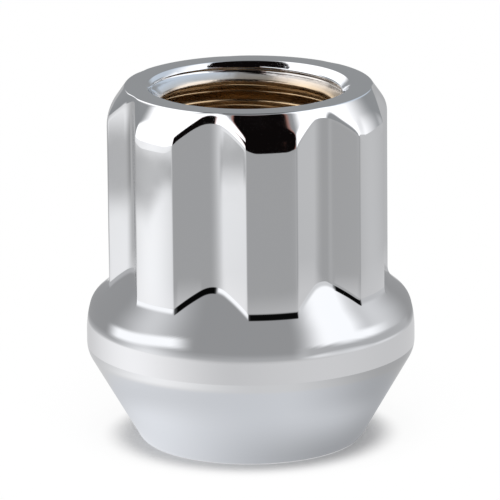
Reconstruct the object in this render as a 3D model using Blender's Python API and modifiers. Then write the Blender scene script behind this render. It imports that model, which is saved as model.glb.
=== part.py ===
"""Spline-drive lug nut: fluted barrel, round flange, 60 degree seat and an open bore.

The nut stands on the small end of its seat. The origin is the centre of that
end, and +Z runs up along the bore. One flute lies to each side of the lobe that
faces -Y.
"""

import math

import bmesh
import bpy
from mathutils import Matrix

MM = 0.001

# Overall
NUT_HEIGHT = 26.0 * MM
BARREL_DIAMETER = 20.3 * MM
FLANGE_DIAMETER = 23.6 * MM

# Conical seat and the flange's straight side above it
SEAT_ANGLE = math.radians(60.0)
SEAT_HEIGHT = 6.7 * MM
SEAT_TIP_ROUND = 0.8 * MM
FLANGE_LOWER_ROUND = 2.0 * MM
FLANGE_SIDE_HEIGHT = 1.3 * MM

# Crown: a wide round that leans the flange's side inward, then a tight one to the shoulder
CROWN_ROUND = 7.0 * MM
CROWN_TILT = math.radians(15.0)
SHOULDER_ROUND = 1.74 * MM

# Shoulder: a cone from the crown to the barrel, then a steeper one in the flutes
SHOULDER_SLOPE = math.radians(39.0)
RUNOUT_SLOPE = math.radians(55.0)
RUNOUT_INSET = 0.05 * MM

# Chamfer round the open end, which also cuts the flutes' ends to arches
CHAMFER_HEIGHT = 1.87 * MM
CHAMFER_ANGLE = math.radians(35.0)
CHAMFER_BLEND = 3.5 * MM
TOP_EDGE_ROUND = 0.25 * MM

# Flutes
FLUTE_COUNT = 7
FLUTE_CORE_DIAMETER = 18.0 * MM
FLUTE_ROOT_ROUND = 2.5 * MM
FLUTE_FLANK_ANGLE = math.radians(18.8)

# Bore: an M14 x 1.5 thread's minor diameter, countersunk at both ends
THREAD_MAJOR_DIAMETER = 14.0 * MM
THREAD_PITCH = 1.5 * MM
THREAD_DEPTH_PER_PITCH = 0.54127
TOP_COUNTERSINK_DIAMETER = 14.64 * MM
SEAT_COUNTERSINK_DIAMETER = 14.0 * MM
COUNTERSINK_SLOPE = math.radians(45.0)

# Lengths by which a cutter or a joined body passes the surface that it meets
CUT_OVERRUN = 1.0 * MM
JOIN_DEPTH = 1.0 * MM
MERGE_DISTANCE = 0.001 * MM

# Fineness of the turned surfaces, as a whole number of facets to each flute
FACETS_PER_FLUTE = 12
BORE_FACETS = 72
ARC_STEP = math.radians(9.0)

CHROME_COLOUR = (0.76, 0.77, 0.78, 1.0)
CHROME_ROUGHNESS = 0.06
SMOOTH_LIMIT = math.radians(20.0)

BARREL_RADIUS = BARREL_DIAMETER / 2
FLANGE_RADIUS = FLANGE_DIAMETER / 2
FLUTE_CORE_RADIUS = FLUTE_CORE_DIAMETER / 2
BORE_RADIUS = THREAD_MAJOR_DIAMETER / 2 - THREAD_DEPTH_PER_PITCH * THREAD_PITCH
FLUTE_PITCH_ANGLE = 2 * math.pi / FLUTE_COUNT


def clear_scene():
    """Remove every object, so that the model starts from nothing."""
    for obj in list(bpy.data.objects):
        bpy.data.objects.remove(obj, do_unlink=True)


def new_collection(name):
    collection = bpy.data.collections.new(name)
    bpy.context.scene.collection.children.link(collection)
    return collection


def mark_as_cutter(obj):
    obj.display_type = "WIRE"
    obj.hide_render = True


def chrome_material():
    material = bpy.data.materials.new("chrome")
    material.use_nodes = True
    shader = material.node_tree.nodes["Principled BSDF"]
    shader.inputs["Base Color"].default_value = CHROME_COLOUR
    shader.inputs["Metallic"].default_value = 1.0
    shader.inputs["Roughness"].default_value = CHROME_ROUGHNESS
    return material


def rounded_profile(corners):
    """Return (radius, height) points, with each corner turned into an arc.

    Each corner is (radius, height, round). A round of zero keeps it sharp. Where
    one arc ends as the next begins, their shared point is listed once.
    """
    points = []
    for index, (radius, height, fillet) in enumerate(corners):
        if fillet == 0:
            points.append((radius, height))
            continue
        before = corners[index - 1]
        after = corners[index + 1]
        arc = corner_arc((before[0], before[1]), (radius, height), (after[0], after[1]), fillet)
        if math.dist(points[-1], arc[0]) < MERGE_DISTANCE:
            points.pop()
        points.extend(arc)
    return points


def corner_arc(before, corner, after, fillet):
    """Return the points of an arc of the given radius, tangent to both sides of a corner."""
    angle_in = math.atan2(corner[1] - before[1], corner[0] - before[0])
    angle_out = math.atan2(after[1] - corner[1], after[0] - corner[0])
    turn = (angle_out - angle_in + math.pi) % (2 * math.pi) - math.pi
    side = math.copysign(1.0, turn)
    tangent = fillet * math.tan(abs(turn) / 2)
    start = (corner[0] - tangent * math.cos(angle_in), corner[1] - tangent * math.sin(angle_in))
    centre = (start[0] - side * fillet * math.sin(angle_in), start[1] + side * fillet * math.cos(angle_in))
    steps = max(1, math.ceil(abs(turn) / ARC_STEP))
    arc = []
    for step in range(steps + 1):
        angle = angle_in + turn * step / steps
        arc.append((centre[0] + side * fillet * math.sin(angle), centre[1] - side * fillet * math.cos(angle)))
    return arc


def turned_object(name, profile, facets, collection):
    """Turn a profile of (radius, height) points, listed from top to bottom, round Z."""
    mesh = bpy.data.meshes.new(name)
    outline = bmesh.new()
    vertices = [outline.verts.new((radius, 0.0, height)) for radius, height in profile]
    for first, second in zip(vertices, vertices[1:]):
        outline.edges.new((first, second))
    outline.to_mesh(mesh)
    outline.free()
    obj = bpy.data.objects.new(name, mesh)
    collection.objects.link(obj)
    turning = obj.modifiers.new("turning", "SCREW")
    turning.axis = "Z"
    turning.angle = 2 * math.pi
    turning.steps = facets
    turning.render_steps = facets
    turning.use_merge_vertices = True
    turning.merge_threshold = MERGE_DISTANCE
    turning.use_smooth_shade = False
    return obj


def seat_radius(height):
    """Radius of the seat's cone at a height, before its tip is rounded."""
    return FLANGE_RADIUS - (SEAT_HEIGHT - height) * math.tan(SEAT_ANGLE / 2)


def crown_corners():
    """Return the (radius, height) corners of the crown's two rounds, which meet each other."""
    shoulder_turn = math.pi / 2 - SHOULDER_SLOPE - CROWN_TILT
    crown_tangent = CROWN_ROUND * math.tan(CROWN_TILT / 2)
    between = crown_tangent + SHOULDER_ROUND * math.tan(shoulder_turn / 2)
    height = SEAT_HEIGHT + FLANGE_SIDE_HEIGHT + crown_tangent
    inward = between * math.sin(CROWN_TILT)
    upward = between * math.cos(CROWN_TILT)
    return (FLANGE_RADIUS, height), (FLANGE_RADIUS - inward, height + upward)


def shoulder_height(radius):
    """Height of the shoulder's cone at a radius."""
    corner_radius, corner_height = crown_corners()[1]
    return corner_height + (corner_radius - radius) * math.tan(SHOULDER_SLOPE)


def flange_and_seat(facets, collection):
    """Turn the body below the barrel, whose steep cone closes the flutes' lower ends."""
    runout_radius = BARREL_RADIUS - RUNOUT_INSET
    inner_radius = FLUTE_CORE_RADIUS - JOIN_DEPTH
    inner_height = shoulder_height(runout_radius) + (runout_radius - inner_radius) * math.tan(RUNOUT_SLOPE)
    crown, shoulder = crown_corners()
    corners = [
        (0.0, inner_height, 0.0),
        (inner_radius, inner_height, 0.0),
        (runout_radius, shoulder_height(runout_radius), 0.0),
        (shoulder[0], shoulder[1], SHOULDER_ROUND),
        (crown[0], crown[1], CROWN_ROUND),
        (FLANGE_RADIUS, SEAT_HEIGHT, FLANGE_LOWER_ROUND),
        (seat_radius(0.0), 0.0, SEAT_TIP_ROUND),
        (0.0, 0.0, 0.0),
    ]
    body = turned_object("flange_and_seat", rounded_profile(corners), facets, collection)
    mark_as_cutter(body)
    return body


def barrel_blank(facets, collection):
    """Turn the barrel with its chamfer. Its foot ends inside the flange."""
    top_radius = BARREL_RADIUS - CHAMFER_HEIGHT * math.tan(CHAMFER_ANGLE)
    foot_height = shoulder_height(BARREL_RADIUS) - JOIN_DEPTH
    corners = [
        (0.0, NUT_HEIGHT, 0.0),
        (top_radius, NUT_HEIGHT, TOP_EDGE_ROUND),
        (BARREL_RADIUS, NUT_HEIGHT - CHAMFER_HEIGHT, CHAMFER_BLEND),
        (BARREL_RADIUS, foot_height, 0.0),
        (0.0, foot_height, 0.0),
    ]
    return turned_object("lug_nut", rounded_profile(corners), facets, collection)


def flute_outline():
    """Return the (outward, sideways) points of one flute's section, round at its root."""
    arc_steps = math.ceil(2 * FLUTE_FLANK_ANGLE / ARC_STEP)
    arc_centre = FLUTE_CORE_RADIUS + FLUTE_ROOT_ROUND
    arc = []
    for step in range(arc_steps + 1):
        angle = FLUTE_FLANK_ANGLE * (2 * step / arc_steps - 1)
        arc.append((arc_centre - FLUTE_ROOT_ROUND * math.cos(angle), FLUTE_ROOT_ROUND * math.sin(angle)))
    outer = BARREL_RADIUS + CUT_OVERRUN
    reach = (outer - arc[-1][0]) / math.tan(FLUTE_FLANK_ANGLE)
    return [(outer, arc[0][1] - reach)] + arc + [(outer, arc[-1][1] + reach)]


def flute_cutter(name, low, high, collection):
    """Extrude the flute's section from a low to a high level."""
    mesh = bpy.data.meshes.new(name)
    cutter = bmesh.new()
    ring = [cutter.verts.new((outward, sideways, low)) for outward, sideways in flute_outline()]
    floor = cutter.faces.new(ring)
    lifted = bmesh.ops.extrude_face_region(cutter, geom=[floor])
    raised = [item for item in lifted["geom"] if isinstance(item, bmesh.types.BMVert)]
    bmesh.ops.translate(cutter, verts=raised, vec=(0.0, 0.0, high - low))
    bmesh.ops.recalc_face_normals(cutter, faces=cutter.faces)
    cutter.to_mesh(mesh)
    cutter.free()
    obj = bpy.data.objects.new(name, mesh)
    collection.objects.link(obj)
    mark_as_cutter(obj)
    return obj


def add_flute_cutters(collection):
    """Place a cutter at every flute, from below the barrel's foot to above its end."""
    foot = shoulder_height(BARREL_RADIUS) - JOIN_DEPTH - CUT_OVERRUN
    for index in range(FLUTE_COUNT):
        angle = (index + 0.5) * FLUTE_PITCH_ANGLE - math.pi / 2
        cutter = flute_cutter(f"flute_{index + 1}", foot, NUT_HEIGHT + CUT_OVERRUN, collection)
        cutter.matrix_world = Matrix.Rotation(angle, 4, "Z")


def bore_cutter(collection):
    """Turn the bore and both countersinks as one cutter."""
    slope = math.tan(COUNTERSINK_SLOPE)
    top_mouth = TOP_COUNTERSINK_DIAMETER / 2
    seat_mouth = SEAT_COUNTERSINK_DIAMETER / 2
    corners = [
        (0.0, NUT_HEIGHT + CUT_OVERRUN),
        (top_mouth + CUT_OVERRUN / slope, NUT_HEIGHT + CUT_OVERRUN),
        (BORE_RADIUS, NUT_HEIGHT - (top_mouth - BORE_RADIUS) * slope),
        (BORE_RADIUS, (seat_mouth - BORE_RADIUS) * slope),
        (seat_mouth + CUT_OVERRUN / slope, -CUT_OVERRUN),
        (0.0, -CUT_OVERRUN),
    ]
    cutter = turned_object("bore", corners, BORE_FACETS, collection)
    mark_as_cutter(cutter)
    return cutter


def add_boolean(obj, name, operation, operand):
    """Add a Boolean with one object, or with every object of a collection."""
    modifier = obj.modifiers.new(name, "BOOLEAN")
    modifier.operation = operation
    modifier.solver = "EXACT"
    if isinstance(operand, bpy.types.Collection):
        modifier.operand_type = "COLLECTION"
        modifier.collection = operand
    else:
        modifier.object = operand


def settle_mesh(obj):
    """Replace the modifiers by their result, shaded smooth between its real edges."""
    evaluated = obj.evaluated_get(bpy.context.evaluated_depsgraph_get())
    mesh = bpy.data.meshes.new_from_object(evaluated)
    obj.modifiers.clear()
    obj.data = mesh
    mesh.name = obj.name
    mesh.shade_smooth()
    mesh.set_sharp_from_angle(angle=SMOOTH_LIMIT)


def build_lug_nut():
    parts = new_collection("lug_nut_part")
    cutters = new_collection("cutters")
    flutes = new_collection("flute_cutters")
    facets = FLUTE_COUNT * FACETS_PER_FLUTE

    nut = barrel_blank(facets, parts)
    add_flute_cutters(flutes)
    add_boolean(nut, "flutes", "DIFFERENCE", flutes)
    add_boolean(nut, "flange", "UNION", flange_and_seat(facets, cutters))
    add_boolean(nut, "bore", "DIFFERENCE", bore_cutter(cutters))
    settle_mesh(nut)
    nut.data.materials.clear()
    nut.data.materials.append(chrome_material())


clear_scene()
build_lug_nut()
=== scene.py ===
"""Looks of the lug nut: chromed and fluted, with a rolled thread in its open bore."""

import math

import bpy
import numpy as np
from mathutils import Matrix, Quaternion, Vector


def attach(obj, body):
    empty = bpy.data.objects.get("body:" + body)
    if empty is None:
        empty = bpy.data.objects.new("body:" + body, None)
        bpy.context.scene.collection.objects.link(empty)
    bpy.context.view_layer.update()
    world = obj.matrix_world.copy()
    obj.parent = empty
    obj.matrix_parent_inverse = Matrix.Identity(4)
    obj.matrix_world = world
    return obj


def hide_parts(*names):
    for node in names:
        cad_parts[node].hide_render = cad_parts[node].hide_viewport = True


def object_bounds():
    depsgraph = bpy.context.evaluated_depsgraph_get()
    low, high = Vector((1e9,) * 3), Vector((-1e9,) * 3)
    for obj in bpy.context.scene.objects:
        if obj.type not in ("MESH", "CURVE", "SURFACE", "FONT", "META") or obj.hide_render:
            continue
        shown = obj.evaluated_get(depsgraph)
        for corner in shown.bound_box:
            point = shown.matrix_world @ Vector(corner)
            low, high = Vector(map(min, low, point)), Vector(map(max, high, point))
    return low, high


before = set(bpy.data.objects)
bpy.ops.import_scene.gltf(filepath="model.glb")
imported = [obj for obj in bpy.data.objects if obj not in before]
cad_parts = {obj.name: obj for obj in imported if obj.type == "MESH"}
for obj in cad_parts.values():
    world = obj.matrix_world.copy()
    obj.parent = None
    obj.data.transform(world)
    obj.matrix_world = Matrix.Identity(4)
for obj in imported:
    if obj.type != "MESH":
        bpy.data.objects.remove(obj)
CAD_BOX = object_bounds()

MM = 0.001

# Overall sizes, read from the frame, in millimetres
NUT_HEIGHT = (CAD_BOX[1].z - CAD_BOX[0].z) / MM
FLANGE_RADIUS = (CAD_BOX[1].x - CAD_BOX[0].x) / 2 / MM

# Seat and flange. Every length of the nut is in millimetres, and a reach says how far a round extends.
SEAT_HALF_ANGLE = math.radians(30.0)
SEAT_HEIGHT = 6.7
SEAT_TIP_REACH = 0.46
FLANGE_LOWER_REACH = 0.54
CROWN_START = 8.0
CROWN_ROUND = 7.0
CROWN_TILT = math.radians(15.0)
SHOULDER_ROUND = 1.74
SHOULDER_SLOPE = math.radians(39.0)
CROWN_REACH = CROWN_ROUND * math.tan(CROWN_TILT / 2)
SHOULDER_REACH = SHOULDER_ROUND * math.tan((math.pi / 2 - SHOULDER_SLOPE - CROWN_TILT) / 2)

# Barrel and its flutes
BARREL_RADIUS = 10.15
FLUTE_COUNT = 7
FLUTE_CORE_RADIUS = 9.0
FLUTE_ROOT_ROUND = 2.5
FLUTE_FLANK_ANGLE = math.radians(18.8)
HALF_PITCH = math.pi / FLUTE_COUNT
LOBE_EDGE_REACH = 0.056
RUNOUT_SLOPE = math.radians(55.0)
RUNOUT_RADIUS = 10.1
RUNOUT_REACH = 0.18
FOOT_REACH = 0.48
FOOT_REACHES_TO_RUNOUT = 1.3

# Chamfer round the open end
CHAMFER_ANGLE = math.radians(35.0)
TOP_RADIUS = 8.84
CHAMFER_REACH = 1.1
CHAMFER_RUN = 5.0
CHAMFER_SMOOTHING = 0.03
TOP_EDGE_REACH = 0.1

# Round of the edge where a flute runs out through the chamfer
FLANK_END_REACH = 0.6
ROOT_END_REACH = 0.8
ROOT_FADE = math.radians(9.0)
LOBE_FADE_START = math.radians(-2.0)
LOBE_FADE = math.radians(6.5)

# Bore
THREAD_MAJOR_RADIUS = 7.0
THREAD_MINOR_RADIUS = 6.188
THREAD_PITCH = 1.5
THREAD_CREST_SHARE = 0.25
THREAD_ROOT_SHARE = 0.125
THREAD_ROUND_SHARE = 0.4
TOP_MOUTH_RADIUS = 7.32
SEAT_MOUTH_RADIUS = 7.0
MOUTH_REACH = 0.08
MOUTH_LIP = 0.2
COUNTERSINK_ROUND = 0.06

# Mesh columns within half a flute pitch, from a flute's centre to a lobe's
ROOT_COLUMNS = 8
FLANK_COLUMNS = 10
EDGE_COLUMNS = 8
LOBE_COLUMNS = 14
EDGE_HALF_WIDTH = math.radians(0.42)
BORE_COLUMN_STEP = 5

# Mesh points and rows of the chamfer and the thread
CHAMFER_ROUND_POINTS = 33
CHAMFER_PATH_POINTS = 40
CHAMFER_ROWS = 28
THREAD_FLANK_ROWS = (0.25, 0.5, 0.75)
THREAD_TURNS_BELOW = 2
THREAD_SPARE_TURNS = 3
BORE_RING_DEPTH = 0.1
ROW_SNAP = 0.02

# Reach at a corner that stays sharp, shortest stretch with rows of its own, least length to divide by,
# and decimals that tell angles apart
SHARP_REACH = 1e-4
SHORTEST_STRETCH = 10 * SHARP_REACH
LEAST_LENGTH = 1e-9
PLACES_KEPT = 9

# Corners of the section, counted from the one inside the seat's mouth
MOUTH, SEAT_TIP, FLANGE_EDGE, CROWN, SHOULDER, RUNOUT, FOOT, CHAMFER = range(1, 9)


def smooth_step(value):
    """0 up to 0 and 1 from 1 on, with a soft rise between them."""
    value = np.clip(value, 0.0, 1.0)
    return value * value * (3 - 2 * value)


def soft_min(first, second, reach):
    """Lower of two values, rounded where they are within reach of each other."""
    share = np.clip(0.5 + 0.5 * (second - first) / reach, 0.0, 1.0)
    return second * (1 - share) + first * share - reach * share * (1 - share)


def flank_apex():
    """Distance from the axis at which a flute's two flanks would meet without the root's round."""
    return FLUTE_CORE_RADIUS - FLUTE_ROOT_ROUND * (1 / math.cos(FLUTE_FLANK_ANGLE) - 1)


def flank_radius(angle):
    """Radius of a flute's flat flank at an angle from the flute's centre."""
    return flank_apex() / (np.cos(angle) - math.tan(FLUTE_FLANK_ANGLE) * np.sin(angle))


def root_radius(angle):
    """Radius of a flute's round root at an angle from the flute's centre."""
    centre = FLUTE_CORE_RADIUS + FLUTE_ROOT_ROUND
    inside = np.maximum(FLUTE_ROOT_ROUND**2 - (centre * np.sin(angle)) ** 2, 0.0)
    return centre * np.cos(angle) - np.sqrt(inside)


def root_half_angle():
    """Angle from a flute's centre at which its root's round ends."""
    sideways = FLUTE_ROOT_ROUND * math.sin(FLUTE_FLANK_ANGLE)
    outward = FLUTE_CORE_RADIUS + FLUTE_ROOT_ROUND * (1 - math.cos(FLUTE_FLANK_ANGLE))
    return math.atan2(sideways, outward)


def lobe_edge_angle():
    """Angle from a flute's centre at which its flank reaches the barrel."""
    tangent = math.tan(FLUTE_FLANK_ANGLE)
    lean = math.atan(tangent)
    return math.acos(flank_apex() / (BARREL_RADIUS * math.hypot(1.0, tangent))) - lean


def wall_radius(angle):
    """Radius of the fluted wall at an angle from the nearest flute's centre."""
    flute = np.where(angle < root_half_angle(), root_radius(angle), flank_radius(angle))
    return soft_min(flute, BARREL_RADIUS, LOBE_EDGE_REACH)


def spread(low, high, count):
    """Evenly spaced values from low up to high, without high itself."""
    return np.linspace(low, high, count, endpoint=False)


def column_angles():
    """Each mesh column's angle from the nearest flute's centre, and its angle round the nut."""
    edge = lobe_edge_angle()
    stops = [0.0, root_half_angle(), edge - EDGE_HALF_WIDTH, edge + EDGE_HALF_WIDTH, HALF_PITCH]
    counts = [ROOT_COLUMNS, FLANK_COLUMNS, EDGE_COLUMNS, LOBE_COLUMNS]
    half = [spread(low, high, count) for low, high, count in zip(stops, stops[1:], counts)]
    half = np.append(np.concatenate(half), HALF_PITCH)
    one_flute = np.concatenate([half, HALF_PITCH * 2 - half[-2:0:-1]])
    turns = np.concatenate([one_flute + index * 2 * HALF_PITCH for index in range(FLUTE_COUNT)])
    offsets = np.minimum(one_flute, 2 * HALF_PITCH - one_flute)
    return np.tile(offsets, FLUTE_COUNT), turns + HALF_PITCH


def shoulder_height(radius):
    """Height of the shoulder's cone at a radius, before it steepens in the flutes."""
    crown_end = FLANGE_RADIUS - CROWN_ROUND * (1 - math.cos(CROWN_TILT))
    steep = math.pi / 2 - SHOULDER_SLOPE
    start_radius = crown_end - SHOULDER_ROUND * (math.cos(CROWN_TILT) - math.cos(steep))
    start_height = (
        CROWN_START
        + CROWN_ROUND * math.sin(CROWN_TILT)
        + SHOULDER_ROUND * (math.sin(steep) - math.sin(CROWN_TILT))
    )
    return start_height + (start_radius - radius) * math.tan(SHOULDER_SLOPE)


def foot_height(radius):
    """Height at which the wall meets the shoulder or, inside the flutes, the run-out cone."""
    if radius >= RUNOUT_RADIUS:
        return shoulder_height(radius)
    steeper = (RUNOUT_RADIUS - radius) * math.tan(RUNOUT_SLOPE) + shoulder_height(RUNOUT_RADIUS)
    return max(steeper, shoulder_height(radius))


def chamfer_edge(wall):
    """Height at which the chamfer meets a wall at this radius."""
    return NUT_HEIGHT - (wall - TOP_RADIUS) / math.tan(CHAMFER_ANGLE)


def chamfer_points(wall, reach):
    """Points up the round from the wall to the chamfer and on to the flat top, which cuts it off."""
    along = np.concatenate([np.linspace(-reach, reach, CHAMFER_ROUND_POINTS), [reach + CHAMFER_RUN]])
    below = np.minimum(along - reach, 0.0)
    above = np.maximum(along + reach, 0.0)
    straight = np.where(along > reach, along, above**2 / (4 * reach))
    radii = wall - straight * math.sin(CHAMFER_ANGLE)
    heights = chamfer_edge(wall) - below**2 / (4 * reach) + straight * math.cos(CHAMFER_ANGLE)
    end = np.interp(NUT_HEIGHT, heights, along + reach)
    kept = np.linspace(0.0, end, CHAMFER_PATH_POINTS) - reach
    return np.stack([np.interp(kept, along, radii), np.interp(kept, along, heights)], axis=1)


def outer_corners(wall, reach):
    """Corners of the section from the seat's mouth up and over to the top mouth, at one angle."""
    crown_corner = CROWN_START + CROWN_REACH
    crown_to_shoulder = CROWN_REACH + SHOULDER_REACH
    shoulder_corner = (
        FLANGE_RADIUS - crown_to_shoulder * math.sin(CROWN_TILT),
        crown_corner + crown_to_shoulder * math.cos(CROWN_TILT),
    )
    runout = max(RUNOUT_RADIUS, wall + FOOT_REACHES_TO_RUNOUT * FOOT_REACH)
    below = [
        (SEAT_MOUTH_RADIUS - MOUTH_LIP, MOUTH_LIP),
        (SEAT_MOUTH_RADIUS, 0.0),
        (FLANGE_RADIUS - SEAT_HEIGHT * math.tan(SEAT_HALF_ANGLE), 0.0),
        (FLANGE_RADIUS, SEAT_HEIGHT),
        (FLANGE_RADIUS, crown_corner),
        shoulder_corner,
        (runout, shoulder_height(runout)),
        (wall, foot_height(wall)),
    ]
    above = [
        (TOP_MOUTH_RADIUS, NUT_HEIGHT),
        (TOP_MOUTH_RADIUS - MOUTH_LIP, NUT_HEIGHT - MOUTH_LIP),
    ]
    return np.vstack([below, chamfer_points(wall, reach), above])


def chamfer_reach(offset):
    """Reach of the round between the wall and the chamfer: wide on the lobes and at the roots."""
    at_root = float(smooth_step(1 - offset / ROOT_FADE))
    on_lobe = float(smooth_step((offset - lobe_edge_angle() - LOBE_FADE_START) / LOBE_FADE))
    reach = FLANK_END_REACH + (ROOT_END_REACH - FLANK_END_REACH) * at_root
    return reach + (CHAMFER_REACH - reach) * on_lobe


def path_lengths(corners):
    """Length along a path of straight lines, from its start to each of its corners."""
    return np.concatenate([[0.0], np.cumsum(np.linalg.norm(np.diff(corners, axis=0), axis=1))])


def path_integral(corners, stations, at):
    """Integral of the position along a path of straight lines, from its start to each length."""
    steps = np.diff(corners, axis=0)
    lengths = np.diff(stations)
    pieces = (corners[:-1] + corners[1:]) / 2 * lengths[:, None]
    sums = np.vstack([[0.0, 0.0], np.cumsum(pieces, axis=0)])
    index = np.clip(np.searchsorted(stations, at, side="right") - 1, 0, len(lengths) - 1)
    along = (at - stations[index])[:, None]
    heading = steps[index] / np.maximum(lengths[index], LEAST_LENGTH)[:, None]
    return sums[index] + corners[index] * along + heading * along**2 / 2


def rounded_path(corners, at, reach):
    """Points along a path whose corners are rounded by averaging it over a reach to each side."""
    stations = path_lengths(corners)
    low = np.clip(at - reach, 0.0, stations[-1])
    high = np.clip(at + reach, 0.0, stations[-1])
    summed = path_integral(corners, stations, high) - path_integral(corners, stations, low)
    return summed / (high - low)[:, None]


def outer_column(offset):
    """Section of the outer surface at one angle, as (radius, height) points from bottom to top."""
    wall = float(wall_radius(np.array(offset)))
    corners = outer_corners(wall, chamfer_reach(offset))
    at = path_lengths(corners)

    # Rounded corners, as (corner, reach, rows before the round, rows over it)
    rounds = [
        (MOUTH, MOUTH_REACH, 1, 3),
        (SEAT_TIP, SEAT_TIP_REACH, 1, 7),
        (FLANGE_EDGE, FLANGE_LOWER_REACH, 8, 9),
        (CROWN, CROWN_REACH, 2, 10),
        (SHOULDER, SHOULDER_REACH, 1, 10),
        (RUNOUT, RUNOUT_REACH, 3, 3),
        (FOOT, FOOT_REACH, 2, 8),
    ]
    stretches = []
    last = 0.0
    for corner, reach, rows_before, rows_over in rounds:
        begin = at[corner] - reach
        if begin - last > SHORTEST_STRETCH:
            stretches.append((last, begin, rows_before, SHARP_REACH))
        else:
            begin = last
        last = at[corner] + reach
        stretches.append((begin, last, rows_over, reach))

    # Stretches above the foot, as (start, end, rows, reach)
    top_edge, mouth, inside = at[-3:]
    stretches += [
        (last, at[CHAMFER], 4, SHARP_REACH),
        (at[CHAMFER], top_edge - TOP_EDGE_REACH, CHAMFER_ROWS, CHAMFER_SMOOTHING),
        (top_edge - TOP_EDGE_REACH, top_edge + TOP_EDGE_REACH, 5, TOP_EDGE_REACH),
        (top_edge + TOP_EDGE_REACH, mouth - MOUTH_REACH, 2, SHARP_REACH),
        (mouth - MOUTH_REACH, mouth + MOUTH_REACH, 4, MOUTH_REACH),
        (mouth + MOUTH_REACH, inside, 1, SHARP_REACH),
    ]
    places = [spread(low, high, rows) for low, high, rows, reach in stretches]
    reaches = [np.full(rows, reach) for low, high, rows, reach in stretches]
    places.append([inside - SHARP_REACH])
    reaches.append([SHARP_REACH])
    return rounded_path(corners, np.concatenate(places), np.concatenate(reaches))


def thread_rows():
    """Levels and radii of the mesh rows within one turn of the thread, from a crest's upper edge."""
    crest = THREAD_CREST_SHARE * THREAD_PITCH
    root = THREAD_ROOT_SHARE * THREAD_PITCH
    flank = (THREAD_PITCH - crest - root) / 2
    corners = np.array([
        (THREAD_MINOR_RADIUS, -crest / 2),
        (THREAD_MINOR_RADIUS, crest / 2),
        (THREAD_MAJOR_RADIUS, crest / 2 + flank),
        (THREAD_MAJOR_RADIUS, crest / 2 + flank + root),
        (THREAD_MINOR_RADIUS, crest / 2 + 2 * flank + root),
        (THREAD_MINOR_RADIUS, crest * 1.5 + 2 * flank + root),
    ])
    at = path_lengths(corners)
    reach = THREAD_ROUND_SHARE * root
    places = []
    reaches = []
    for corner in range(1, len(corners) - 1):
        places += [at[corner] - reach, at[corner], at[corner] + reach]
        reaches += [reach] * 3
        # A flank starts at each odd corner
        if corner % 2 == 1:
            run = at[corner + 1] - at[corner] - 2 * reach
            for share in THREAD_FLANK_ROWS:
                places.append(at[corner] + reach + run * share)
                reaches.append(SHARP_REACH)
    points = rounded_path(corners, np.array(places), np.array(reaches))
    return points[:, 1], points[:, 0]


def grid_faces(low_ring, high_ring):
    """Quads between two rings of vertex numbers, the second ring after the first along the surface."""
    following = np.roll(low_ring, -1), np.roll(high_ring, -1)
    return [list(face) for face in zip(low_ring, following[0], following[1], high_ring)]


def fan_faces(fine_ring, coarse_ring, fine_first):
    """Triangles between a fine ring and a coarse ring that has one point for several of its own."""
    step = len(fine_ring) // len(coarse_ring)
    middle = (step + 1) // 2
    faces = []
    for index, near in enumerate(coarse_ring):
        far = coarse_ring[(index + 1) % len(coarse_ring)]
        fine = [fine_ring[(index * step + k) % len(fine_ring)] for k in range(step + 1)]
        made = [[fine[k], fine[k + 1], near if k < middle else far] for k in range(step)]
        made.append([fine[middle], far, near])
        faces += made if fine_first else [face[::-1] for face in made]
    return faces


def bore_levels():
    """Levels and radii of the bore's rows before they rise along the helix, and the rows in a turn."""
    levels, radii = thread_rows()
    count = math.ceil(NUT_HEIGHT / THREAD_PITCH) + THREAD_SPARE_TURNS
    every = [levels + THREAD_PITCH * (turn - THREAD_TURNS_BELOW) for turn in range(count)]
    return np.concatenate(every), np.tile(radii, count), len(levels)


def countersink_radius(height):
    """Radius at a height of whichever countersink, the top's or the seat's, is the wider there."""
    return max(TOP_MOUTH_RADIUS - (NUT_HEIGHT - height), SEAT_MOUTH_RADIUS - height)


def bore_mesh(angles, top_level, bottom_level, top_ring, bottom_ring, first_number):
    """Vertices and faces of the threaded bore between two rings that already exist.

    The rows climb one pitch in each turn, and end where they reach the level of a ring.
    """
    levels, radii, rows_per_turn = bore_levels()
    numbers = np.zeros((len(levels), len(angles)), int)
    vertices = []
    climb = (angles - angles[0]) / (2 * math.pi) * THREAD_PITCH
    for row, (level, radius) in enumerate(zip(levels, radii)):
        for column, angle in enumerate(angles):
            height = level + climb[column]
            if height > top_level - ROW_SNAP:
                numbers[row, column] = top_ring[column]
            elif height < bottom_level + ROW_SNAP:
                numbers[row, column] = bottom_ring[column]
            else:
                wide = -float(soft_min(-radius, -countersink_radius(height), COUNTERSINK_ROUND))
                numbers[row, column] = first_number + len(vertices)
                vertices.append((wide * math.sin(angle), -wide * math.cos(angle), height))
    faces = []
    last_row = len(levels) - 1
    last_column = len(angles) - 1
    for row in range(last_row):
        for column in range(len(angles)):
            if column < last_column:
                beside = numbers[row, column + 1], numbers[row + 1, column + 1]
            else:
                lower = min(row + rows_per_turn, last_row)
                upper = min(row + 1 + rows_per_turn, last_row)
                beside = numbers[lower, 0], numbers[upper, 0]
            face = [numbers[row, column], numbers[row + 1, column], beside[1], beside[0]]
            kept = [number for place, number in enumerate(face) if number != face[place - 1]]
            if len(set(kept)) >= 3 and len(set(kept)) == len(kept):
                faces.append(kept)
    return vertices, faces


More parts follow.
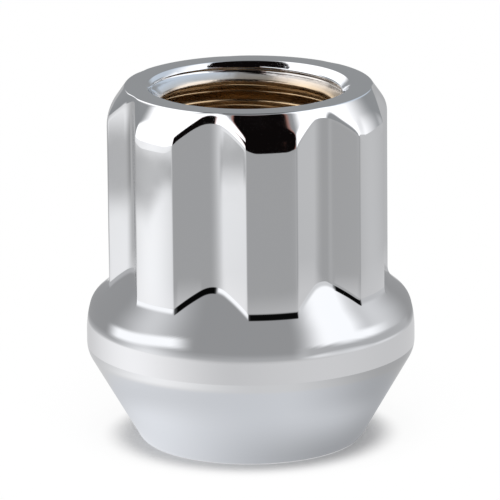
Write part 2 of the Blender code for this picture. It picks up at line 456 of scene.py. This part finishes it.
def nut_mesh():
    """Closed mesh of the whole nut, in metres."""
    offsets, angles = column_angles()
    keys = [round(float(offset), PLACES_KEPT) for offset in offsets]
    columns = {}
    for key, offset in zip(keys, offsets):
        if key not in columns:
            columns[key] = outer_column(float(offset))
    sections = np.stack([columns[key] for key in keys], axis=1)
    radii = sections[:, :, 0]
    heights = sections[:, :, 1]
    vertices = np.stack([radii * np.sin(angles), -radii * np.cos(angles), heights], axis=2).reshape(-1, 3)
    rings = np.arange(radii.size).reshape(radii.shape)
    faces = []
    for low_ring, high_ring in zip(rings, rings[1:]):
        faces += grid_faces(low_ring, high_ring)

    bore_angles = angles[::BORE_COLUMN_STEP]
    top_level = NUT_HEIGHT - MOUTH_LIP - BORE_RING_DEPTH
    bottom_level = MOUTH_LIP + BORE_RING_DEPTH
    extra = []
    bore_rings = []
    for level in (top_level, bottom_level):
        radius = countersink_radius(level)
        bore_rings.append(len(vertices) + len(extra) + np.arange(len(bore_angles)))
        extra += [(radius * math.sin(angle), -radius * math.cos(angle), level) for angle in bore_angles]
    top_ring, bottom_ring = bore_rings
    faces += fan_faces(rings[-1], top_ring, fine_first=True)
    faces += fan_faces(rings[0], bottom_ring, fine_first=False)
    first_number = len(vertices) + len(extra)
    bore_vertices, bore_faces = bore_mesh(
        bore_angles, top_level, bottom_level, top_ring, bottom_ring, first_number
    )
    everything = np.vstack([vertices, extra, bore_vertices]) * MM
    mesh = bpy.data.meshes.new("chromed_nut")
    mesh.from_pydata(everything.tolist(), [], [[int(n) for n in face] for face in faces + bore_faces])
    in_bore = np.zeros(len(mesh.polygons), np.int32)
    in_bore[len(faces):] = 1
    mesh.polygons.foreach_set("material_index", in_bore)
    mesh.validate()
    mesh.shade_smooth()
    return mesh


# Noise of the finish, as (scale, detail), and the depths of its bumps in metres
CHROME_CLOUD = (160.0, 3.0)
CHROME_HAZE = (700.0, 5.0)
CHROME_RIPPLE = (330.0, 2.0)
RIPPLE_DEPTH = 1.5e-6
BORE_CLOUD = (420.0, 6.0)
BORE_GRAIN = (1500.0, 4.0)
BORE_GRAIN_DEPTH = 1.2e-5

CHROME_COOL = (0.765, 0.775, 0.795, 1.0)
CHROME_PALE = (0.795, 0.795, 0.80, 1.0)
HAZE_LIMITS = (0.3, 0.7)
HAZE_ROUGHNESS = (0.03, 0.085)
OILED_DARK = (0.30, 0.19, 0.10, 1.0)
OILED_PALE = (0.85, 0.66, 0.42, 1.0)
MOUTH_PLATING = (0.78, 0.80, 0.83, 1.0)
BORE_ROUGHNESS = (0.24, 0.07)
WHITE = (1.0, 1.0, 1.0, 1.0)
NORMAL_WEIGHT = 50

# Plating in the bore, in millimetres below the open end: whole down to the first, gone at the second
PLATED_START = 0.6
PLATED_END = 1.5


def add_noise(nodes, links, scale, detail):
    """Noise in the object's own coordinates, which are in metres."""
    place = nodes.new("ShaderNodeTexCoord")
    noise = nodes.new("ShaderNodeTexNoise")
    noise.inputs["Scale"].default_value = scale
    noise.inputs["Detail"].default_value = detail
    links.new(place.outputs["Object"], noise.inputs["Vector"])
    return noise.outputs["Fac"]


def add_range(nodes, links, value, low, high, to_low, to_high):
    """A value mapped from one range to another."""
    mapped = nodes.new("ShaderNodeMapRange")
    mapped.inputs["From Min"].default_value = low
    mapped.inputs["From Max"].default_value = high
    mapped.inputs["To Min"].default_value = to_low
    mapped.inputs["To Max"].default_value = to_high
    links.new(value, mapped.inputs["Value"])
    return mapped.outputs["Result"]


def add_mix(nodes, links, share, first, second):
    """A colour, or another node's output, mixed with a second colour by a share."""
    mix = nodes.new("ShaderNodeMix")
    mix.data_type = "RGBA"
    if isinstance(first, bpy.types.NodeSocket):
        links.new(first, mix.inputs["A"])
    else:
        mix.inputs["A"].default_value = first
    mix.inputs["B"].default_value = second
    links.new(share, mix.inputs["Factor"])
    return mix.outputs["Result"]


def add_bump(nodes, links, height, depth, shader):
    """Bump of a depth in metres, from a height that runs from 0 to 1."""
    bump = nodes.new("ShaderNodeBump")
    bump.inputs["Distance"].default_value = depth
    links.new(height, bump.inputs["Height"])
    links.new(bump.outputs["Normal"], shader.inputs["Normal"])


def chrome_material():
    """Bright plating: a faint ripple of polished forging, and a haze that varies across it."""
    material = bpy.data.materials.new("chrome")
    material.use_nodes = True
    nodes = material.node_tree.nodes
    links = material.node_tree.links
    shader = nodes["Principled BSDF"]
    shader.inputs["Metallic"].default_value = 1.0
    cloud = add_noise(nodes, links, *CHROME_CLOUD)
    links.new(add_mix(nodes, links, cloud, CHROME_COOL, CHROME_PALE), shader.inputs["Base Color"])
    haze = add_noise(nodes, links, *CHROME_HAZE)
    roughness = add_range(nodes, links, haze, *HAZE_LIMITS, *HAZE_ROUGHNESS)
    links.new(roughness, shader.inputs["Roughness"])
    add_bump(nodes, links, add_noise(nodes, links, *CHROME_RIPPLE), RIPPLE_DEPTH, shader)
    return material


def bore_material():
    """Bare steel of the rolled thread under a film of yellow oil, with plating run into the top mouth."""
    material = bpy.data.materials.new("bore_steel")
    material.use_nodes = True
    nodes = material.node_tree.nodes
    links = material.node_tree.links
    shader = nodes["Principled BSDF"]
    shader.inputs["Metallic"].default_value = 1.0
    steel = add_mix(nodes, links, add_noise(nodes, links, *BORE_CLOUD), OILED_DARK, OILED_PALE)
    place = nodes.new("ShaderNodeTexCoord")
    split = nodes.new("ShaderNodeSeparateXYZ")
    links.new(place.outputs["Object"], split.inputs["Vector"])
    bare_below = (NUT_HEIGHT - PLATED_END) * MM
    plated_above = (NUT_HEIGHT - PLATED_START) * MM
    plated = add_range(nodes, links, split.outputs["Z"], bare_below, plated_above, 0.0, 1.0)
    links.new(add_mix(nodes, links, plated, steel, MOUTH_PLATING), shader.inputs["Base Color"])
    links.new(add_range(nodes, links, plated, 0.0, 1.0, *BORE_ROUGHNESS), shader.inputs["Roughness"])
    add_bump(nodes, links, add_noise(nodes, links, *BORE_GRAIN), BORE_GRAIN_DEPTH, shader)
    return material


def make_nut():
    nut = bpy.data.objects.new("chromed_nut", nut_mesh())
    bpy.context.scene.collection.objects.link(nut)
    nut.data.materials.append(chrome_material())
    nut.data.materials.append(bore_material())
    evenly = nut.modifiers.new("even_shading", "WEIGHTED_NORMAL")
    evenly.mode = "FACE_AREA"
    evenly.weight = NORMAL_WEIGHT
    evenly.keep_sharp = False
    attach(nut, "root")
    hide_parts("lug_nut")


# Camera. Lengths are in millimetres, and the photo's scale is in its pixels per millimetre of the nut.
PHOTO_WIDTH = 500
PHOTO_SCALE = 13.9
CAMERA_DISTANCE = 450.0
CAMERA_ELEVATION = math.radians(15.57)
CAMERA_AZIMUTH = math.radians(-9.1)
CAMERA_ROLL = math.radians(-0.54)
CAMERA_PIVOT_HEIGHT = 11.0
CAMERA_AIM_RISE = 2.637
FRAME_WIDTH = PHOTO_WIDTH / PHOTO_SCALE
SENSOR_WIDTH = 36.0


def camera_side(elevation):
    """Direction from the nut to the camera's side of it, at an elevation."""
    across = math.cos(elevation)
    return Vector((
        math.sin(CAMERA_AZIMUTH) * across,
        -math.cos(CAMERA_AZIMUTH) * across,
        math.sin(elevation),
    ))


def make_camera():
    data = bpy.data.cameras.new("camera")
    camera = bpy.data.objects.new("camera", data)
    bpy.context.scene.collection.objects.link(camera)
    back = camera_side(CAMERA_ELEVATION)
    up = back.to_track_quat("Z", "Y") @ Vector((0.0, 1.0, 0.0))
    pivot = Vector((0.0, 0.0, CAMERA_PIVOT_HEIGHT))
    place = pivot + back * CAMERA_DISTANCE
    aim = pivot + up * CAMERA_AIM_RISE
    camera.rotation_mode = "QUATERNION"
    looking = (aim - place).to_track_quat("-Z", "Y")
    camera.rotation_quaternion = looking @ Quaternion((0.0, 0.0, 1.0), CAMERA_ROLL)
    camera.location = place * MM
    data.sensor_width = SENSOR_WIDTH
    data.lens = SENSOR_WIDTH * CAMERA_DISTANCE / FRAME_WIDTH
    bpy.context.scene.camera = camera


# Studio. Lengths are in millimetres. Azimuths are in degrees from the camera, to its right. Limits are
# (low, high, soft width), humps are (centre azimuth, half width, height) and spans are (start, length).
TENT_RADIUS = 350.0
TENT_STEP = 0.75
SHEET_STEP = 2.0

# Softboxes and the flag on the tent, by azimuth and elevation
LEFT_BOX_SIDES = (-107.0, -16.0, 12.0)
LEFT_BOX_HEIGHTS = (-5.0, 52.0, 10.0)
RIGHT_BOX_START = 54.0
RIGHT_BOX_START_SOFT = 10.0
RIGHT_BOX_END = 116.0
RIGHT_BOX_END_SOFT = 36.0
RIGHT_BOX_HEIGHTS = (-5.0, 68.0, 10.0)
HIGH_BOX_SIDES = (66.0, 155.0, 12.0)
HIGH_BOX_FOOT = 44.0
HIGH_BOX_FOOT_AZIMUTH = 90.0
HIGH_BOX_SLANT = 0.5
HIGH_BOX_TOP = 72.0
HIGH_BOX_SOFT = 8.0
FLAG_LEFT = -41.0
FLAG_LEFT_ABOVE = -18.5
FLAG_RIGHT = 30.0
FLAG_RIGHT_ABOVE = 43.0
FLAG_STEP = 26.0
FLAG_STEP_SOFT = 6.0
FLAG_SIDE_SOFT = 2.5
FLAG_HEIGHTS = (-5.0, 60.0, 2.0)
RIM_WIDTH = 2.5
RIM_HEIGHTS = (-5.0, 60.0, 4.0)
RIM_SHARE = 0.6

TENT_COLOUR = (0.325, 0.335, 0.345)
SOFTBOX_COLOUR = (1.45, 1.45, 1.47)
HIGH_RIGHT_COLOUR = (0.64, 0.72, 0.82)
FLAG_COLOUR = (0.004, 0.003, 0.003)
FLAG_EDGE_COLOUR = (0.45, 0.10, 0.03)

# Floor card, which stands in for the floor in reflections, with painted shade round the seat and painted
# light on the left
FLOOR_CARD_HEIGHT = 0.05
FLOOR_CARD_FINE = (6.0, 40.0, 70)
FLOOR_CARD_COARSE = (41.0, 130.0, 60)
NEAR_LEVEL = 190
NEAR_HUMPS = [(-60, 75, 34), (25, 60, 12), (105, 60, -27)]
# Painted shadow of the nut round the seat, painted shade further out and painted light on the left, as
# factors on the near level
SEAT_SHADE = 0.96
SEAT_SHADE_HUMPS = [(45, 80, -0.38)]
SEAT_SHADE_SPAN = (8.0, 3.5)
OUTER_SHADE_HUMPS = [(-60, 75, 0.17), (62, 50, 0.19)]
OUTER_SHADE_SPAN = (10.3, 2.4)
LEFT_LIGHT_HUMPS = [(-56, 62, 0.36)]
LEFT_LIGHT_SPAN = (12.5, 6.0)
FAR_LEVEL = 156
FAR_HUMPS = [(-82, 62, 88), (110, 48, 32), (41, 11, 10), (180, 70, 14)]
FAR_SPAN = (24.0, 16.0)
FAR_STREAK_START = 77
FAR_STREAK_START_HUMPS = [(-64, 24, 12)]
FAR_STREAK_END = 103
FAR_STREAK_SOFT = 12
FAR_STREAK_SIDES = (-125, -56, 14)
FAR_STREAK_SHADE = 0.46
NEAR_TINT = (0.975, 1.0, 1.045)
FAR_TINT = (0.995, 1.0, 1.01)
TINT_SPAN = (13.2, 3.0)

# Low strip round the flange
STRIP_RADIUS = 26.0
STRIP_FOOT = 0.1
STRIP_FADE = 6.8
STRIP_TOP = 9.2
STRIP_LEVEL = 194
STRIP_HUMPS = [(-73, 68, 46), (40, 60, 8)]
STRIP_TINT = (1.0, 1.0, 1.01)

# Shoulder card, whose glow is a painted reflection on the shoulder: its place on the section, and its fades
# as shares of its rows and in degrees
CARD_GAP = 0.12
CARD_START = 0.22
CARD_END = 112.0
CARD_ROWS = 25
CARD_FOOT = 0.8
CARD_FOOT_ROWS = 12
FOOT_CARD_BELOW = 0.12
FOOT_CARD_ABOVE = 0.4
RIGHT_STROKE_CUT = 0.12
RIGHT_STROKE_SIDES = (38, 50, 3)
CARD_SLOPE_STEP = 0.05
CARD_ROUND = 0.3
CARD_LOW_FADE = 0.04
CARD_HIGH_FADE = 0.02
CARD_SIDE_FADE = 12.0

# Painted reflection on the shoulder: light on the shoulder card, in display levels, by azimuth and by
# height, with a painted highlight streak on each side
PAINTED_SHOULDER_LEVEL = 144
PAINTED_SHOULDER_HUMPS = [(-40, 22, 58), (54, 28, 62)]
LOWER_LIFT = 22
LOWER_HEIGHTS = (0.0, 9.1, 0.5)
RIGHT_LIFT = 106
RIGHT_LIFT_SIDES = (21, 42, 14)
RIGHT_END_LEVEL = 170
RIGHT_END_HEIGHTS = (8.9, 9.55, 0.2)
RIGHT_END_SIDES = (18, 75, 8)
PAINTED_STREAK_LEVEL = 252
RIGHT_STREAK_HEIGHTS = (9.5, 10.15, 0.35)
RIGHT_STREAK_SIDES = (36, 54, 14)
LEFT_STREAK_HEIGHTS = (9.2, 9.98, 0.35)
LEFT_STREAK_SIDES = (-59, -25, 10)
LEFT_STREAK_CLIMB = 0.25
LEFT_STREAK_CLIMB_SPAN = (-50, 24)
PAINTED_SHOULDER_TINT = (0.99, 1.0, 1.02)
LEVEL_LIMITS = (4, 252)

# Painted reflection strokes, dark and pale, along the foot of the barrel, as (from, to, soft width, change
# of level)
PAINTED_FOOT_LEVEL = 172
PAINTED_FOOT_STROKES = [
    (-60, -32, 3, 78),
    (-32, -15.5, 2, -166),
    (-15.5, -1, 2, 80),
    (-1, 19.5, 1, -162),
    (19.5, 40, 2, 33),
    (40, 50.5, 1.5, -166),
    (50.5, 90, 2, 14),
]
PALE_STROKE = 100
PALE_STROKE_ONSET = 0.12
DARK_STROKE_ONSET = 0.03

# Black card over the bore
BORE_FLAG_HEIGHT = 40.0
BORE_FLAG_RADIUS = 7.15
BORE_FLAG_CENTRE = 0.01
BORE_FLAG_STEP = 6.0

# Overhead light, surroundings and floor. The distance and the size are in metres.
SUN_STRENGTH = 2.55
SUN_SPREAD = math.radians(38.0)
SUN_ELEVATION = math.radians(74.0)
SUN_DISTANCE = 0.5
WORLD_STRENGTH = 0.22
FLOOR_SIZE = 6.0

# Glow of the paper floor, from the nut's axis outwards
SHADOW_START = 8.3
SHADOW_END = 11.1
FLOOR_GLOW_NEAR = 0.1
FLOOR_GLOW_FAR = 0.93

# The sRGB display curve without its straight foot, and the share of light that the chrome reflects
CURVE_OFFSET = 0.055
CURVE_POWER = 2.4
CHROME_SHARE = 0.79


def tone(value):
    """Linear glow that the chrome shows as a display level from 0 to 255."""
    share = np.asarray(value, float) / 255.0
    return ((share + CURVE_OFFSET) / (1 + CURVE_OFFSET)) ** CURVE_POWER / CHROME_SHARE


def past(value, limit, soft):
    """0 below a limit and 1 above it, turning over a soft width centred on it."""
    return smooth_step((value - limit) / soft + 0.5)


def between(value, low, high, soft):
    """1 between two limits, falling to 0 over a soft width centred on each limit."""
    return past(value, low, soft) * past(-value, -high, soft)


def rising(value, start, length):
    """0 up to a start, rising to 1 over a length."""
    return smooth_step((value - start) / length)


def mixed(under, over, share):
    """One glow laid over another, by a share at each place."""
    share = np.asarray(share)[..., None]
    return under * (1 - share) + np.asarray(over) * share


def lobe(azimuth, centre, half_width):
    """Soft hump of 1 at one azimuth that falls to 0 a half width to each side."""
    away = np.abs((azimuth - centre + 180.0) % 360.0 - 180.0)
    return smooth_step(1 - away / half_width)


def with_humps(azimuth, level, humps):
    """A level with soft humps added to it by azimuth."""
    for centre, half_width, height in humps:
        level = level + height * lobe(azimuth, centre, half_width)
    return level


def tent_glow(azimuth, elevation):
    """Glow of the tent: low and high softboxes at the sides, and a stepped black flag with a warm rim."""
    glow = np.ones(azimuth.shape + (3,)) * TENT_COLOUR
    left = between(azimuth, *LEFT_BOX_SIDES) * between(elevation, *LEFT_BOX_HEIGHTS)
    right = past(azimuth, RIGHT_BOX_START, RIGHT_BOX_START_SOFT)
    right = right * past(-azimuth, -RIGHT_BOX_END, RIGHT_BOX_END_SOFT)
    right = right * between(elevation, *RIGHT_BOX_HEIGHTS)
    sideways = np.abs(azimuth)
    high_foot = HIGH_BOX_FOOT - HIGH_BOX_SLANT * (sideways - HIGH_BOX_FOOT_AZIMUTH)
    high = between(sideways, *HIGH_BOX_SIDES) * between(elevation, high_foot, HIGH_BOX_TOP, HIGH_BOX_SOFT)
    step = past(elevation, FLAG_STEP, FLAG_STEP_SOFT)
    flag_left = FLAG_LEFT + (FLAG_LEFT_ABOVE - FLAG_LEFT) * step
    flag_right = FLAG_RIGHT + (FLAG_RIGHT_ABOVE - FLAG_RIGHT) * step
    flag = between(azimuth, flag_left, flag_right, FLAG_SIDE_SOFT) * between(elevation, *FLAG_HEIGHTS)
    rim = between(azimuth, flag_left - RIM_WIDTH, flag_right + RIM_WIDTH, FLAG_SIDE_SOFT)
    rim = rim * between(elevation, *RIM_HEIGHTS)
    glow = mixed(glow, HIGH_RIGHT_COLOUR, high * (azimuth > 0))
    glow = mixed(glow, SOFTBOX_COLOUR, np.maximum(np.maximum(left, right), high * (azimuth < 0)))
    glow = mixed(glow, FLAG_EDGE_COLOUR, rim * RIM_SHARE)
    return mixed(glow, FLAG_COLOUR, flag)


def floor_glow(azimuth, distance):
    """Glow of the floor card, a painted reflection of the floor: painted shade close to the seat, and paler
    on the left further out.
    """
    near = tone(with_humps(azimuth, NEAR_LEVEL, NEAR_HUMPS))
    seat_shade = with_humps(azimuth, SEAT_SHADE, SEAT_SHADE_HUMPS)
    near = near * (seat_shade + (1 - seat_shade) * rising(distance, *SEAT_SHADE_SPAN))
    outer_shade = with_humps(azimuth, 0.0, OUTER_SHADE_HUMPS)
    near = near * (1 - outer_shade * rising(distance, *OUTER_SHADE_SPAN))
    left_light = with_humps(azimuth, 0.0, LEFT_LIGHT_HUMPS)
    near = near * (1 + left_light * rising(distance, *LEFT_LIGHT_SPAN))
    far = tone(with_humps(azimuth, FAR_LEVEL, FAR_HUMPS))
    streak_start = with_humps(azimuth, FAR_STREAK_START, FAR_STREAK_START_HUMPS)
    streak = between(distance, streak_start, FAR_STREAK_END, FAR_STREAK_SOFT)
    far = far * (1 - FAR_STREAK_SHADE * streak * between(azimuth, *FAR_STREAK_SIDES))
    level = near + (far - near) * rising(distance, *FAR_SPAN)
    near_tint = np.ones(level.shape + (3,)) * NEAR_TINT
    return level[..., None] * mixed(near_tint, FAR_TINT, rising(distance, *TINT_SPAN))


def strip_glow(azimuth):
    """Glow of the low strip round the flange: brightest on the left."""
    return tone(with_humps(azimuth, STRIP_LEVEL, STRIP_HUMPS))[..., None] * np.array(STRIP_TINT)


def painted_foot_level(azimuth):
    """Display level of the painted reflection along the foot of the barrel: black and pale strokes by
    azimuth.
    """
    level = PAINTED_FOOT_LEVEL
    for low, high, soft, change in PAINTED_FOOT_STROKES:
        level = level + change * between(azimuth, low, high, soft)
    return level


def painted_shoulder_glow(azimuth, height, rise):
    """Glow of the card over the shoulder, a painted reflection on it: grey, a painted highlight streak on
    each side, and the foot's painted strokes.
    """
    level = with_humps(azimuth, PAINTED_SHOULDER_LEVEL, PAINTED_SHOULDER_HUMPS)
    level = level + LOWER_LIFT * between(height, *LOWER_HEIGHTS)
    level = level + RIGHT_LIFT * between(azimuth, *RIGHT_LIFT_SIDES)
    right_end = between(height, *RIGHT_END_HEIGHTS) * between(azimuth, *RIGHT_END_SIDES)
    level = level + (RIGHT_END_LEVEL - level) * right_end
    painted_right_streak = between(height, *RIGHT_STREAK_HEIGHTS) * between(azimuth, *RIGHT_STREAK_SIDES)
    level = level + (PAINTED_STREAK_LEVEL - level) * painted_right_streak
    climb = LEFT_STREAK_CLIMB * rising(azimuth, *LEFT_STREAK_CLIMB_SPAN)
    painted_left_streak = between(height - climb, *LEFT_STREAK_HEIGHTS) * between(azimuth, *LEFT_STREAK_SIDES)
    level = level + (PAINTED_STREAK_LEVEL - level) * painted_left_streak
    foot = painted_foot_level(azimuth)
    onset = np.where(foot > PALE_STROKE, PALE_STROKE_ONSET, DARK_STROKE_ONSET)
    level = level + (foot - level) * rising(rise, CARD_FOOT, onset)
    return tone(np.clip(level, *LEVEL_LIMITS))[..., None] * np.array(PAINTED_SHOULDER_TINT)


def glow_material():
    """Emission that takes its colour from the sheet's own glow, which is lamp light and flags on the tent,
    strip and bore flag and a painted reflection on the shoulder and floor cards, and lets its back and bare
    parts through.
    """
    material = bpy.data.materials.new("studio_and_painted_glow")
    material.use_nodes = True
    nodes = material.node_tree.nodes
    links = material.node_tree.links
    nodes.clear()
    colour = nodes.new("ShaderNodeAttribute")
    colour.attribute_name = "glow"
    emission = nodes.new("ShaderNodeEmission")
    clear = nodes.new("ShaderNodeBsdfTransparent")
    geometry = nodes.new("ShaderNodeNewGeometry")
    front = nodes.new("ShaderNodeMath")
    front.operation = "SUBTRACT"
    front.use_clamp = True
    mix = nodes.new("ShaderNodeMixShader")
    output = nodes.new("ShaderNodeOutputMaterial")
    links.new(colour.outputs["Color"], emission.inputs["Color"])
    links.new(colour.outputs["Alpha"], front.inputs[0])
    links.new(geometry.outputs["Backfacing"], front.inputs[1])
    links.new(front.outputs["Value"], mix.inputs["Fac"])
    links.new(clear.outputs["BSDF"], mix.inputs[1])
    links.new(emission.outputs["Emission"], mix.inputs[2])
    links.new(mix.outputs["Shader"], output.inputs["Surface"])
    material.cycles.emission_sampling = "NONE"
    return material


def glow_sheet(name, places, glow, material, cover=1.0):
    """Sheet that only reflections see, from a grid of places in millimetres, their glow and cover."""
    rows, columns = glow.shape[:2]
    mesh = bpy.data.meshes.new(name)
    numbers = np.arange(rows * columns).reshape(rows, columns)
    faces = np.stack([numbers[:-1, :-1], numbers[1:, :-1], numbers[1:, 1:], numbers[:-1, 1:]], axis=2)
    mesh.from_pydata((places.reshape(-1, 3) * MM).tolist(), [], faces.reshape(-1, 4).tolist())
    attribute = mesh.attributes.new("glow", "FLOAT_COLOR", "POINT")
    colours = np.ones((rows, columns, 4))
    colours[..., :3] = glow
    colours[..., 3] = cover
    attribute.data.foreach_set("color", colours.ravel())
    mesh.materials.append(material)
    sheet = bpy.data.objects.new(name, mesh)
    bpy.context.scene.collection.objects.link(sheet)
    sheet.visible_camera = False
    sheet.visible_diffuse = False
    sheet.visible_transmission = False
    sheet.visible_volume_scatter = False
    sheet.visible_shadow = False


def full_turn(step):
    """Azimuths all the way round, with both ends."""
    return np.arange(-180.0, 180.0 + step / 2, step)


def from_polar(azimuth, distance, height):
    """Places at an azimuth from the camera, a distance from the nut's axis and a height."""
    turn = np.radians(azimuth) + CAMERA_AZIMUTH
    level = height * np.ones_like(turn)
    return np.stack([distance * np.sin(turn), -distance * np.cos(turn), level], axis=-1)


def make_tent(material):
    azimuth, elevation = np.meshgrid(full_turn(TENT_STEP), np.arange(0.0, 90.0 + TENT_STEP / 2, TENT_STEP))
    lift = np.radians(elevation)
    height = TENT_RADIUS * np.sin(lift) + CAMERA_PIVOT_HEIGHT
    places = from_polar(azimuth, TENT_RADIUS * np.cos(lift), height)
    glow_sheet("tent", places, tent_glow(azimuth, elevation), material)


def make_floor_card(material):
    """Glow of the floor as seen in reflections, with its painted shade, turned up at its far edge to meet
    the tent.
    """
    distances = [np.linspace(*FLOOR_CARD_FINE), np.linspace(*FLOOR_CARD_COARSE), [TENT_RADIUS] * 2]
    azimuth, distance = np.meshgrid(full_turn(SHEET_STEP), np.concatenate(distances))
    places = from_polar(azimuth, distance, FLOOR_CARD_HEIGHT)
    places[-1, :, 2] = CAMERA_PIVOT_HEIGHT
    glow_sheet("floor_card", places, floor_glow(azimuth, distance), material)


def make_strip(material):
    """Strip round the flange that fades out towards its top, so that the walls show no edge of it."""
    azimuth, height = np.meshgrid(full_turn(SHEET_STEP), [STRIP_FOOT, STRIP_FADE, STRIP_TOP])
    places = from_polar(azimuth, STRIP_RADIUS, height)
    cover = np.where(height < STRIP_TOP, 1.0, 0.0)
    glow_sheet("low_strip", places, strip_glow(azimuth), material, cover)


def card_column(offset, azimuth, steps):
    """Radii and heights of one column of the shoulder card, which paints the shoulder's reflection, just
    clear of the nut's surface.
    """
    wall = float(wall_radius(np.array(offset)))
    corners = outer_corners(wall, CHAMFER_REACH)
    at = path_lengths(corners)
    low = at[CROWN] - CARD_START
    foot = at[FOOT] - FOOT_CARD_BELOW
    high = at[FOOT] + FOOT_CARD_ABOVE - RIGHT_STROKE_CUT * between(azimuth, *RIGHT_STROKE_SIDES)
    places = np.interp(steps, [0.0, CARD_FOOT, 1.0], [low, foot, high])
    reach = np.full(len(steps), CARD_ROUND)
    ahead = rounded_path(corners, places + CARD_SLOPE_STEP, reach)
    behind = rounded_path(corners, places - CARD_SLOPE_STEP, reach)
    run = ahead - behind
    run /= np.linalg.norm(run, axis=1)[:, None]
    middle = (ahead + behind) / 2
    return middle[:, 0] + CARD_GAP * run[:, 1], middle[:, 1] - CARD_GAP * run[:, 0]


def make_painted_shoulder_card(material):
    """Card bent to the shoulder's own form, whose glow is a painted reflection on it: its light, highlight
    streaks and the dark and pale strokes along the foot.
    """
    offsets, angles = column_angles()
    azimuths = (np.degrees(angles - CAMERA_AZIMUTH) + 180.0) % 360.0 - 180.0
    order = np.argsort(azimuths)
    order = order[np.abs(azimuths[order]) < CARD_END]
    steps = np.concatenate([spread(0.0, CARD_FOOT, CARD_ROWS), np.linspace(CARD_FOOT, 1.0, CARD_FOOT_ROWS)])
    columns = [card_column(offsets[index], azimuths[index], steps) for index in order]
    radii, heights = np.array(columns).transpose(1, 2, 0)
    azimuth, rise = np.meshgrid(azimuths[order], steps)
    cover = smooth_step(rise / CARD_LOW_FADE) * smooth_step((1 - rise) / CARD_HIGH_FADE)
    cover = cover * smooth_step((CARD_END - np.abs(azimuth)) / CARD_SIDE_FADE)
    places = from_polar(azimuth, radii, heights)
    glow_sheet("painted_shoulder_card", places, painted_shoulder_glow(azimuth, heights, rise), material, cover)


def make_bore_flag(material):
    """Black card over the open bore, which darkens the back of its countersink."""
    azimuth, distance = np.meshgrid(full_turn(BORE_FLAG_STEP), [BORE_FLAG_RADIUS, BORE_FLAG_CENTRE])
    glow = np.ones(azimuth.shape + (3,)) * FLAG_COLOUR
    glow_sheet("bore_flag", from_polar(azimuth, distance, BORE_FLAG_HEIGHT), glow, material)


def add_seen_rays(nodes, links):
    """1 for what the camera sees, directly or through metal or glass, and 0 for light on surfaces."""
    path = nodes.new("ShaderNodeLightPath")
    total = path.outputs["Is Camera Ray"]
    for ray in ("Is Glossy Ray", "Is Transmission Ray"):
        add = nodes.new("ShaderNodeMath")
        add.operation = "ADD"
        add.use_clamp = True
        links.new(total, add.inputs[0])
        links.new(path.outputs[ray], add.inputs[1])
        total = add.outputs["Value"]
    return total


def make_world():
    """Plain white surroundings that light the floor softly and show as white paper."""
    world = bpy.data.worlds.new("studio")
    world.use_nodes = True
    nodes = world.node_tree.nodes
    links = world.node_tree.links
    background = nodes["Background"]
    background.inputs["Color"].default_value = WHITE
    strength = add_range(nodes, links, add_seen_rays(nodes, links), 0.0, 1.0, WORLD_STRENGTH, 1.0)
    links.new(strength, background.inputs["Strength"])
    bpy.context.scene.world = world


def make_overhead_light():
    data = bpy.data.lights.new("overhead", "SUN")
    data.energy = SUN_STRENGTH
    data.angle = SUN_SPREAD
    light = bpy.data.objects.new("overhead", data)
    bpy.context.scene.collection.objects.link(light)
    towards = camera_side(SUN_ELEVATION)
    light.location = towards * SUN_DISTANCE
    light.rotation_mode = "QUATERNION"
    light.rotation_quaternion = towards.to_track_quat("Z", "Y")
    light.visible_glossy = False


def make_floor():
    """White paper that glows evenly, and less so round the seat, where it keeps the nut's shadow."""
    bpy.ops.mesh.primitive_plane_add(size=FLOOR_SIZE, location=(0.0, 0.0, 0.0))
    floor = bpy.context.object
    floor.name = "floor"
    floor.visible_glossy = False
    material = bpy.data.materials.new("floor_paper")
    material.use_nodes = True
    nodes = material.node_tree.nodes
    links = material.node_tree.links
    shader = nodes["Principled BSDF"]
    shader.inputs["Base Color"].default_value = WHITE
    shader.inputs["Roughness"].default_value = 1.0
    shader.inputs["Specular IOR Level"].default_value = 0.0
    lit = nodes.new("ShaderNodeEmission")
    place = nodes.new("ShaderNodeTexCoord")
    distance = nodes.new("ShaderNodeVectorMath")
    distance.operation = "LENGTH"
    links.new(place.outputs["Object"], distance.inputs[0])
    limits = SHADOW_START * MM, SHADOW_END * MM, FLOOR_GLOW_NEAR, FLOOR_GLOW_FAR
    share = add_range(nodes, links, distance.outputs["Value"], *limits)
    share.node.interpolation_type = "SMOOTHSTEP"
    seen = nodes.new("ShaderNodeMath")
    seen.operation = "MULTIPLY"
    links.new(share, seen.inputs[0])
    links.new(add_seen_rays(nodes, links), seen.inputs[1])
    mix = nodes.new("ShaderNodeMixShader")
    links.new(seen.outputs["Value"], mix.inputs["Fac"])
    links.new(shader.outputs["BSDF"], mix.inputs[1])
    links.new(lit.outputs["Emission"], mix.inputs[2])
    links.new(mix.outputs["Shader"], nodes["Material Output"].inputs["Surface"])
    material.cycles.emission_sampling = "NONE"
    floor.data.materials.append(material)


def make_studio():
    glow = glow_material()
    make_tent(glow)
    make_floor_card(glow)
    make_strip(glow)
    # Sheet whose glow is a painted reflection on the shoulder, with painted highlights and painted dark
    # strokes
    make_painted_shoulder_card(glow)
    make_bore_flag(glow)
    make_world()
    make_overhead_light()
    make_floor()


make_nut()
make_camera()
make_studio()
bpy.context.scene.view_settings.view_transform = "Standard"
